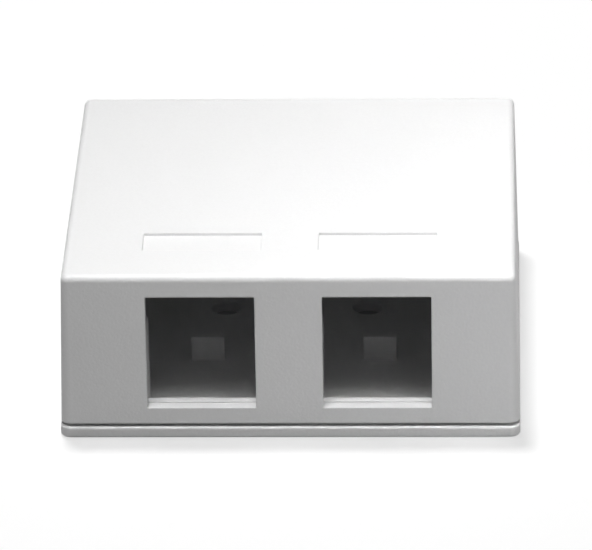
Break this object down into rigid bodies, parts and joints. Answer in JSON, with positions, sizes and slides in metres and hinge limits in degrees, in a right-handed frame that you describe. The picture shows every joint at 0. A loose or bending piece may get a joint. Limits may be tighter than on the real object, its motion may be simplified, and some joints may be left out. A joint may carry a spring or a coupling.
{
  "type": "surface mount jack box",
  "caption": "Low rectangular wall or desk box for keystone jacks: a drafted lift-off cover with square port windows and blank label recesses over a flat base with a foam pad.",
  "frame": {"origin": "centre of the underside, on the release liner's lower face", "axes": "+Z away from the mounting surface, -Y out of the jack windows, +X to the right seen from the front"},
  "size_m": [0.063, 0.06, 0.0243],
  "materials": {
    "base_plastic": "fine satin moulded ABS, white",
    "cover_plastic": "fine satin moulded ABS, white",
    "foam": "closed-cell foam tape, off-white",
    "liner_paper": "smooth siliconed paper"
  },
  "bodies": {
    "base": {"base": "base_plastic", "foam_pad": "foam", "release_liner": "liner_paper"},
    "cover": {"cover": "cover_plastic"}
  },
  "joints": [
    {"name": "cover_lift", "type": "slide", "parent": "base", "child": "cover", "axis": [0, 0, 1], "range_m": [0, 0.03]}
  ]
}
